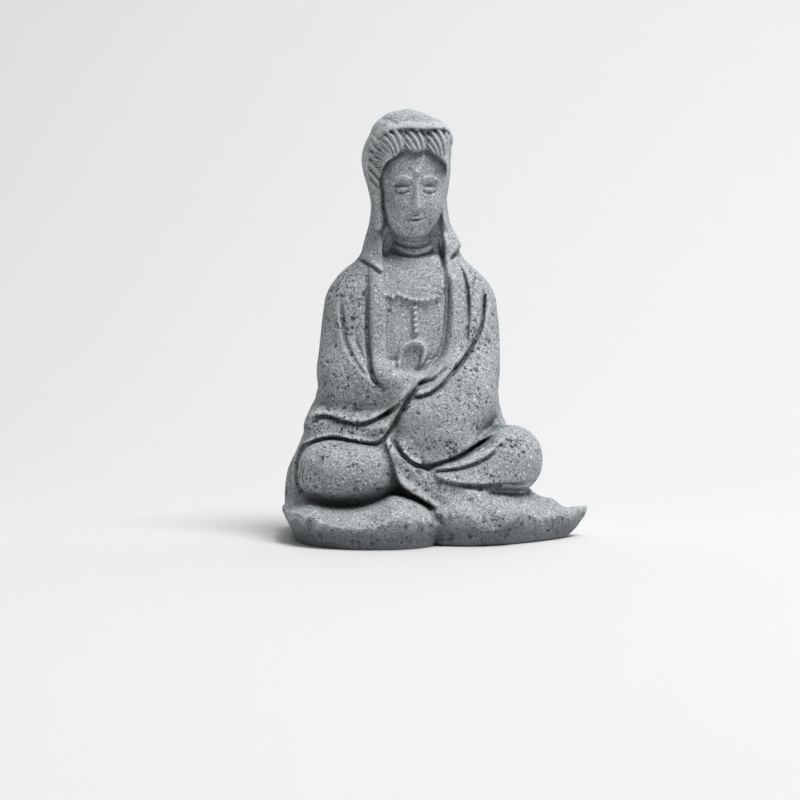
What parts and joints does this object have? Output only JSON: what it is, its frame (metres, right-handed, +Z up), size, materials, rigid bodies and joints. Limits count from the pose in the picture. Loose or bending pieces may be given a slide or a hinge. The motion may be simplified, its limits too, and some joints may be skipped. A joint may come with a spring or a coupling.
{
  "type": "seated figurine",
  "caption": "Hooded figure seated cross-legged in a wide robe, cast in one piece of grey porous stone with a flat underside.",
  "frame": {"origin": "under the middle of the figure's bounding box, on the surface it stands on", "axes": "+Z up, the face looks along -Y, +X is the figure's left hand side"},
  "size_m": [0.093, 0.083, 0.13],
  "materials": {
    "stone": "matt porous grey cast stone"
  },
  "bodies": {
    "root": {"seated_figure": "stone"}
  },
  "joints": []
}
